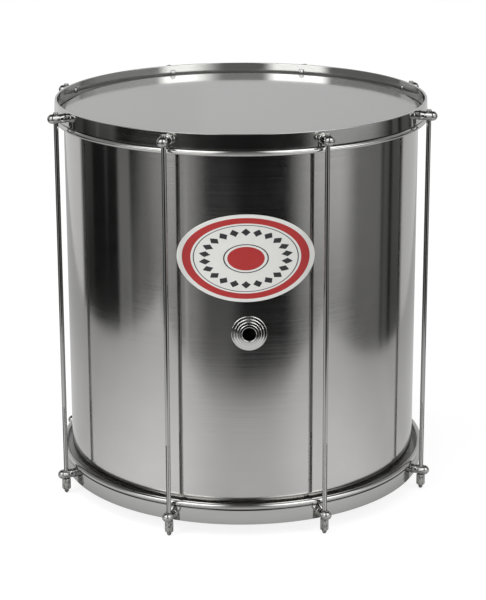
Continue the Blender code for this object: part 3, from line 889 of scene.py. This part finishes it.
def make_world():
    """White for the camera, soft light on the object, and a studio of panels in reflections."""
    world = bpy.data.worlds.new("studio")
    bpy.context.scene.world = world
    world.use_nodes = True
    tree = world.node_tree
    tree.nodes.clear()
    x, y, z = split(tree, new_node(tree, "TexCoord").outputs["Generated"])
    azimuth = azimuth_of(tree, x, y)
    elevation = times(tree, maths(tree, "ARCSINE", z), 180.0 / pi)
    path = new_node(tree, "LightPath")
    studio = key_light(tree, path, azimuth, elevation, panel_light(tree, azimuth, elevation))

    is_camera, is_through = path.outputs["Is Camera Ray"], path.outputs["Is Transmission Ray"]
    is_white = maths(tree, "ADD", is_camera, is_through, clamp=True)
    is_rest = maths(tree, "SUBTRACT", 1.0, is_white)
    glossy = times(tree, path.outputs["Is Glossy Ray"], is_rest)
    other = maths(tree, "SUBTRACT", is_rest, glossy)
    strength = maths(tree, "MULTIPLY_ADD", glossy, studio, is_white)
    strength = maths(tree, "MULTIPLY_ADD", other, WORLD_DIFFUSE, strength)
    background = new_node(tree, "Background")
    tree.links.new(strength, background.inputs["Strength"])
    output = new_node(tree, "OutputWorld")
    tree.links.new(background.outputs[0], output.inputs["Surface"])


def add_softbox(name, place, size, power):
    """Soft lamp aimed at the drum's middle. It can't be seen itself: reflections show the panels."""
    data = bpy.data.lights.new(name, "AREA")
    data.shape = "RECTANGLE"
    data.size, data.size_y = size
    data.energy = power
    lamp = add_object(name, data)
    lamp.location = place
    aim = Vector((0.0, 0.0, TOP_EDGE_Z / 2)) - Vector(place)
    lamp.rotation_euler = aim.to_track_quat("-Z", "Y").to_euler()
    lamp.visible_glossy = False
    lamp.visible_transmission = False
    lamp.visible_camera = False


def make_studio():
    cage = bmesh.new()
    bmesh.ops.create_grid(cage, x_segments=8, y_segments=8, size=FLOOR_SIZE / 2)
    floor = add_object("floor", mesh_from(cage, "floor"))
    floor.data.materials.append(floor_material())
    make_world()
    for name, (place, size, power) in SOFTBOXES.items():
        add_softbox(name, place, size, power)


def make_camera():
    data = bpy.data.cameras.new("camera")
    data.sensor_width = CAMERA_SENSOR
    data.lens = CAMERA_LENS
    data.shift_x, data.shift_y = CAMERA_SHIFT
    camera = add_object("camera", data)
    place = Matrix.Translation((0.0, -CAMERA_DISTANCE, CAMERA_HEIGHT))
    turned_to_drum = Matrix.Rotation(CAMERA_AZIMUTH, 4, "Z") @ place
    tilt = Matrix.Rotation(pi / 2 - CAMERA_PITCH, 4, "X")
    camera.matrix_world = turned_to_drum @ tilt @ Matrix.Rotation(CAMERA_ROLL, 4, "Z")
    bpy.context.scene.camera = camera


def roll_centre_r():
    return SHELL_R - ROLL_R


def roll_drop():
    """Centre of the shell's rolled edge below the hoop's edge."""
    return HEAD_INSET + FILM_THICKNESS + CONTACT + ROLL_R


def shell_profile():
    """Sheet with both edges rolled inwards, as (radius, z)."""
    centre_r = roll_centre_r()
    top = (centre_r, TOP_EDGE_Z - roll_drop())
    bottom = (centre_r, BOTTOM_EDGE_Z + roll_drop())
    inner = ROLL_R - SHELL_WALL
    middle = (ROLL_R + inner) / 2
    outside, inside, round_lip = ROLL_STEPS
    profile = arc(top, ROLL_R, (ROLL_END, 0), outside) + arc(bottom, ROLL_R, (0, -ROLL_END), outside)
    lip = arc(bottom, middle, (-ROLL_END, 0), 1)[0]
    profile += arc(lip, SHELL_WALL / 2, (-ROLL_END, -ROLL_END - 180), round_lip)[1:-1]
    profile += arc(bottom, inner, (-ROLL_END, 0), inside) + arc(top, inner, (0, ROLL_END), inside)
    lip = arc(top, middle, (ROLL_END, 0), 1)[0]
    return profile + arc(lip, SHELL_WALL / 2, (ROLL_END + 180, ROLL_END), round_lip)[1:-1]


def build_shell(material):
    """Sheet shell with a hole for the vent."""
    profile = with_rings(supported(shell_profile()), [VENT_Z - VENT_BAND, VENT_Z + VENT_BAND])
    drill = moved(rod_prism("drill", VENT_HOLE_R, *VENT_DRILL), vent_frame(0.0))
    mesh = boolean(turned("shell_sheet", profile), [drill])
    smooth(mesh)
    add_piece("shell_sheet", mesh, raised(0.0), material, "drum", "shell_metal", "shell")


def film_profile():
    """Film from the middle of its upper face over the roll to the hem, and back underneath."""
    top = -HEAD_INSET
    centre = (roll_centre_r(), -roll_drop())
    inner = ROLL_R + CONTACT
    outer = inner + FILM_THICKNESS
    hem_end = -(STRIP_HEIGHT + CONTACT + HEM_DEPTH)
    over = [(0.0, top)] + [(radius, top) for radius in FILM_RINGS]
    over += arc(centre, outer, (90, FILM_LEAVES_ROLL), 12)
    over += rounded([over[-1], (HEM_R, -FLARE_DROP), (HEM_R, hem_end)], FILM_BEND, closed=False)[1:]
    under = [(HEM_R - FILM_THICKNESS, hem_end)]
    under += rounded([under[0], (HEM_R - FILM_THICKNESS, -FLARE_DROP - FILM_THICKNESS),
                      (centre[0] + inner, centre[1] - FILM_THICKNESS)], FILM_BEND, closed=False)[1:]
    under += arc(centre, inner, (0, 90), 12)
    under += [(radius, top - FILM_THICKNESS) for radius in reversed(FILM_RINGS)]
    return over + under + [(0.0, top - FILM_THICKNESS)]


def build_films(material):
    mesh = turned("film", supported(film_profile(), closed=False))
    smooth(mesh, 50.0)
    for side in SIDES:
        add_piece("film_" + side, mesh, end_frame(side), material, "drum", "head_film", "head_film_" + side)


def flesh_profile():
    """Round-cornered ring with the channel for the film's hem, as (radius, z)."""
    top = -(STRIP_HEIGHT + CONTACT)
    bottom = -(STRIP_HEIGHT + FLESH_HEIGHT)
    inner = FLESH_R - FLESH_WIDTH
    corners = [
        (FLESH_R, top, FLESH_ROUND_AT_STRIP), (FLESH_R, bottom, FLESH_ROUND),
        (inner, bottom, FLESH_ROUND), (inner, top, CHANNEL_EDGE),
        (inner + CHANNEL_IN, top, CHANNEL_EDGE), (inner + CHANNEL_IN, top - CHANNEL_DEPTH, 0.0),
        (inner + CHANNEL_IN + CHANNEL_WIDTH, top - CHANNEL_DEPTH, 0.0),
        (inner + CHANNEL_IN + CHANNEL_WIDTH, top, CHANNEL_EDGE),
    ]
    return eased(corners, 8)


def build_hoops(material):
    """Counter hoops, drilled for the lugs' screws, and flesh hoops."""
    edge_r = HOOP_R - STRIP_TAPER
    profile = rounded([(edge_r, 0.0), (HOOP_R, -STRIP_HEIGHT), (HOOP_R - STRIP_THICKNESS, -STRIP_HEIGHT),
                       (edge_r - STRIP_THICKNESS, 0.0)], STRIP_EDGE)
    profile = with_rings(supported(profile), [-LUG_DROP - SCREW_BAND, -LUG_DROP + SCREW_BAND])
    drills = []
    for angle in ROD_ANGLES:
        drill = rod_prism("drill", SCREW_R + SCREW_PLAY, 6 * STRIP_THICKNESS, SCREW_DRILL_SIDES)
        drills.append(moved(drill, outward_frame(angle, HOOP_R, -LUG_DROP) @ ALONG_X))
    strip = boolean(turned("counter_strip", profile), drills)
    smooth(strip)
    ring = turned("flesh_ring", supported(flesh_profile()))
    smooth(ring)
    pieces = (("counter_strip_", strip, "counter_hoop_"), ("flesh_ring_", ring, "flesh_hoop_"))
    for side in SIDES:
        for name, mesh, node in pieces:
            add_piece(name + side, mesh, end_frame(side), material, side + "_hoop", "hoop_metal", node + side)


def lug_base():
    """Distance from the rod's axis to the lug's base on the hoop."""
    return ROD_CIRCLE_R - HOOP_R + STRIP_TAPER / 2 + CONTACT


def stud_profile():
    """Stud from its base over neck and head to the dome's pole, as (share of the half width, distance)."""
    base = lug_base()
    profile = [(share, base - distance) for distance, share in STUD_BASE]
    profile += STUD_NECK
    for index in range(STUD_DOME_STEPS + 1):
        angle = pi / 2 * index / STUD_DOME_STEPS
        share = cos(angle) if index < STUD_DOME_STEPS else 0.0
        profile.append((share, -STUD_DOME_START - (STUD_NOSE - STUD_DOME_START) * sin(angle)))
    return profile


def stud_mesh():
    """Stud along local +X with the rod's passage and the screw's blind hole."""
    form = turned("stud", stud_profile(), SMALL)
    inward = Matrix.Rotation(-pi / 2, 4, "Y")
    moved(form, inward @ Matrix.Diagonal((STUD_HALF_HEIGHT, STUD_HALF_WIDTH, 1.0, 1.0)))
    far = 3 * STUD_HALF_HEIGHT
    passage = turned("passage", [
        (0.0, far), (SPOT_R, far), (SPOT_R, SPOT_LEVEL + SPOT_EASE), (SPOT_R - SPOT_EASE, SPOT_LEVEL),
        (SEAT_R, SPOT_LEVEL), (ROD_HOLE_R, SPOT_LEVEL - SEAT_DEPTH), (ROD_HOLE_R, -SPOT_LEVEL),
        (SPOT_R - SPOT_EASE, -SPOT_LEVEL), (SPOT_R, -SPOT_LEVEL - SPOT_EASE), (SPOT_R, -far), (0.0, -far),
    ], SMALL)
    hole = rod_prism("hole", SCREW_R + SCREW_PLAY, 2 * BLIND_DEPTH, SCREW_DRILL_SIDES)
    moved(hole, Matrix.Translation((-lug_base(), 0.0, 0.0)) @ ALONG_X)
    mesh = boolean(form, [passage, hole])
    smooth(mesh, 28.0)
    return mesh


def screw_mesh():
    """Domed screw head with a cross recess; local +Z points along the shank."""
    at_flat, at_rim = SCREW_ROUNDS
    outline = eased([
        (0.0, -SCREW_HEAD_HEIGHT, 0.0), (SCREW_FLAT_R, -SCREW_HEAD_HEIGHT, at_flat),
        (SCREW_HEAD_R, -SCREW_HEAD_RIM, at_rim), (SCREW_HEAD_R, 0.0, 0.0), (SCREW_R, 0.0, 0.0),
        (SCREW_R, SCREW_REACH, 0.0), (0.0, SCREW_REACH, 0.0),
    ], 5, closed=False)
    form = turned("screw", outline, SMALL)
    slots = []
    for turn in (0.0, pi / 2):
        cage = bmesh.new()
        bmesh.ops.create_cube(cage, size=1.0)
        slot = mesh_from(cage, "slot")
        size = Matrix.Diagonal((RECESS_LENGTH, RECESS_WIDTH, 2 * RECESS_DEPTH, 1.0))
        middle = raised(-SCREW_HEAD_HEIGHT) @ Matrix.Rotation(turn, 4, "Z")
        slots.append(moved(slot, middle @ size))
    mesh = boolean(form, slots)
    smooth(mesh, 35.0)
    return mesh


def thread_radius(z, angle):
    """Radius of a right-hand thread at a height and an angle round the rod."""
    phase = (z / THREAD_PITCH - angle / (2 * pi)) % 1.0
    ridge = 1.0 - abs(2.0 * phase - 1.0)
    return ROD_R - THREAD_DEPTH * (1.0 - ridge)


def rod_head():
    """Upper end of the rod, from its plain part over the cone to the stub, as (radius, z)."""
    seat_z = TOP_EDGE_Z - LUG_DROP + SPOT_LEVEL
    widest_z = seat_z - ROD_HEAD_SINK
    at_foot, at_rim, at_shoulder, at_top = ROD_ROUNDS
    return eased([
        (ROD_R, seat_z - 4 * ROD_CONE_HEIGHT, 0.0), (ROD_R, widest_z - ROD_CONE_HEIGHT, at_foot),
        (ROD_HEAD_R, widest_z, at_rim), (ROD_STUB_R, seat_z + ROD_HEAD_SHOULDER, at_shoulder),
        (ROD_STUB_R, ROD_TOP_Z, at_top), (0.0, ROD_TOP_Z, 0.0),
    ], 4, closed=False)


def rod_mesh():
    """Rod from its tip at z = 0 to its head: thread below, plain above, cone and stub on top."""
    cage = bmesh.new()
    rings = [add_pole(cage, ROD_SIDES, (0.0, 0.0, 0.0))]

    def level(z, radius_at):
        rings.append(add_ring(cage, ROD_SIDES, lambda angle: (
            radius_at(angle) * cos(angle), radius_at(angle) * sin(angle), z)))

    for radius, z in arc((ROD_R - THREAD_DEPTH - TIP_ROUND, TIP_ROUND), TIP_ROUND, (-90, 0), 5):
        level(z, lambda angle: radius)
    thread_start = TIP_ROUND + THREAD_PITCH / 2
    count = round((THREAD_TOP - thread_start) / THREAD_PITCH * THREAD_STEPS)
    for index in range(count + 1):
        z = thread_start + index * THREAD_PITCH / THREAD_STEPS
        level(z, lambda angle: thread_radius(z, angle))
    for rise in (THREAD_RUNOUT, THREAD_RUNOUT + SUPPORT):
        level(THREAD_TOP + rise, lambda angle: ROD_R)
    for radius, z in supported(rod_head(), closed=False)[:-1]:
        level(z, lambda angle: radius)
    rings.append(add_pole(cage, ROD_SIDES, (0.0, 0.0, ROD_TOP_Z)))
    bridge(cage, rings)
    mesh = mesh_from(cage, "rod")
    smooth(mesh, 40.0)
    return mesh


def hex_nut(name, flats, height, chamfer, bore_r):
    """Hexagonal nut from local z = 0 down: a prism kept inside a double cone, then bored."""
    corner_r = flats / sqrt(3)
    face_r = corner_r * NUT_FACE_RATIO
    prism = moved(rod_prism(name, corner_r, height, 6), raised(-height / 2))
    cone = turned("cone", [
        (0.0, 0.0), (face_r, 0.0), (corner_r + CONTACT, -chamfer), (corner_r + CONTACT, chamfer - height),
        (face_r, -height), (0.0, -height),
    ], CONE_RING)
    bore = turned("bore", [
        (0.0, height), (bore_r + COUNTERSINK + height, height), (bore_r, -COUNTERSINK),
        (bore_r, COUNTERSINK - height), (bore_r + COUNTERSINK + height, -2 * height), (0.0, -2 * height),
    ], SMALL)
    mesh = boolean(boolean(prism, [cone], "INTERSECT"), [bore])
    smooth(mesh, 20.0)
    return mesh


def build_hardware(material, rod_metal, nut_metal):
    """Sixteen lugs and their screws, eight rods and eight nuts."""
    stud = stud_mesh()
    screw = screw_mesh()
    rod = rod_mesh()
    nut = hex_nut("nut", NUT_FLATS, NUT_HIGH.z - NUT_LOW.z, NUT_CHAMFER, ROD_R + CONTACT)
    seat_r = HOOP_R - STRIP_TAPER / 2 - STRIP_THICKNESS - CONTACT
    for number, angle in enumerate(ROD_ANGLES, 1):
        for side, z in (("top", TOP_EDGE_Z - LUG_DROP), ("bottom", BOTTOM_EDGE_Z + LUG_DROP)):
            body = side + "_hoop"
            turn = Matrix.Identity(4) if side == "top" else Matrix.Rotation(pi, 4, "X")
            add_piece(f"stud_{side}_{number}", stud, outward_frame(angle, ROD_CIRCLE_R, z) @ turn,
                      material, body, "chrome", f"lug_{side}_{number}")
            add_piece(f"screw_{side}_{number}", screw, outward_frame(angle, seat_r, z) @ ALONG_X,
                      material, body, "chrome", f"lug_screw_{side}_{number}")
        add_piece(f"rod_{number}", rod, outward_frame(angle, ROD_CIRCLE_R, 0.0), rod_metal, "top_hoop",
                  "chrome", f"tension_rod_{number}")
        add_piece(f"nut_piece_{number}", nut, outward_frame(angle, ROD_CIRCLE_R, NUT_HIGH.z), nut_metal,
                  f"nut_{number}", "chrome", f"tuning_nut_{number}")


def vent_frame(offset):
    """Frame on the vent's axis, +Z pointing forwards; offset 0 is the shell's face."""
    point = Vector((VENT_X, -SHELL_R - offset, VENT_Z))
    return Matrix.Translation(point) @ Matrix.Rotation(pi / 2, 4, "X")


def rosette_profile():
    """Rings whose treads slope up towards the middle, then the bore and the skirt."""
    at_rim, at_step = ROSETTE_ROUNDS
    corners = [(ROSETTE_RADII[0], -ROSETTE_SKIRT, 0.0)]
    height = 0.0
    for radius, following in zip(ROSETTE_RADII, (*ROSETTE_RADII[1:], VENT_HOLE_R)):
        height += ROSETTE_EDGE
        corners.append((radius, height, at_rim))
        height += ROSETTE_SLOPE
        corners.append((following, height, at_step))
    corners.append((VENT_HOLE_R, -ROSETTE_SKIRT, 0.0))
    return eased(corners, 6)


def sleeve_profile():
    """Sleeve with its lip on the rosette, as (radius, distance in front of the shell's face)."""
    at_bore, at_lip, at_lip_foot, at_foot = SLEEVE_ROUNDS
    top = VENT_FRONT - SLEEVE_SINK
    foot = top - SLEEVE_LIP_HEIGHT
    return eased([
        (SLEEVE_BORE_R, top, at_bore), (SLEEVE_LIP_R, top - SLEEVE_LIP_FALL, at_lip),
        (SLEEVE_LIP_R, foot, at_lip_foot), (SLEEVE_R, foot, 0.0),
        (SLEEVE_R, -SLEEVE_REACH, at_foot), (SLEEVE_BORE_R, -SLEEVE_REACH, at_foot),
    ], 6)


def build_vent(material):
    """Rosette trimmed to the shell, sleeve through the hole and nut inside."""
    rosette = turned("rosette", supported(rosette_profile()), VENT_RING)
    moved(rosette, vent_frame(0.0))
    trim = rod_prism("trim", SHELL_R + CONTACT, ROSETTE_TRIM, RING)
    rosette = boolean(rosette, [moved(trim, raised(VENT_Z))])
    smooth(rosette, 35.0)
    add_piece("rosette", rosette, raised(0.0), material, "drum", "chrome", "vent_rosette")
    sleeve = turned("sleeve", supported(sleeve_profile()), VENT_RING)
    smooth(sleeve, 35.0)
    add_piece("sleeve", sleeve, vent_frame(0.0), material, "drum", "chrome", "vent_sleeve")
    nut = hex_nut("inner_nut", VENT_NUT_FLATS, VENT_NUT_HEIGHT, VENT_NUT_HEIGHT / 4, SLEEVE_R + CONTACT)
    inside = vent_frame(-SHELL_WALL - VENT_NUT_GAP)
    add_piece("inner_nut", nut, inside, material, "drum", "chrome", "vent_nut")


def badge_layers():
    """Rings of the badge from the middle of its front to the middle of its back.

    Each is (share of the way to the rim, radius of the bend).
    """
    inner = SHELL_R + BADGE_BACK
    outer = inner + BADGE_THICKNESS
    layers = [(ring / BADGE_RINGS * BADGE_FRONT, outer) for ring in range(1, BADGE_RINGS + 1)]
    for step in range(1, BADGE_EDGE_STEPS + 1):
        angle = pi / 2 * step / BADGE_EDGE_STEPS
        share = 1.0 - BADGE_EDGE / BADGE_HALF_HEIGHT * (1.0 - sin(angle))
        layers.append((share, outer - BADGE_EDGE * (1.0 - cos(angle))))
    return [(0.0, outer)] + layers + [(share, inner) for share in BADGE_BACK_RINGS] + [(0.0, inner)]


def badge_mesh():
    """Oval plate bent to the shell, with an eased rim."""
    cage = bmesh.new()
    rings = []

    def point(share, radius, angle=0.0):
        x = share * BADGE_HALF_WIDTH * cos(angle)
        z = share * BADGE_HALF_HEIGHT * sin(angle)
        return (x, -sqrt(radius * radius - x * x), BADGE_Z + z)

    for share, radius in badge_layers():
        if share == 0.0:
            rings.append(add_pole(cage, BADGE_SIDES, point(share, radius)))
        else:
            rings.append(add_ring(cage, BADGE_SIDES, lambda angle: point(share, radius, angle)))
    bridge(cage, rings)
    mesh = mesh_from(cage, "badge")
    smooth(mesh, 35.0)
    return mesh


def main():
    clear_defaults()
    bpy.context.scene.view_settings.view_transform = "Standard"
    make_camera()
    make_studio()
    build_shell(shell_material())
    build_films(film_material())
    build_hoops(hoop_material())
    build_hardware(metal_material("bright_chrome"), rod_material(), nut_material())
    build_vent(metal_material("vent_lit_chrome"))
    badge = badge_mesh()
    add_piece("badge", badge, raised(0.0), badge_material(), "drum", "badge_enamel", "badge_plate")


main()
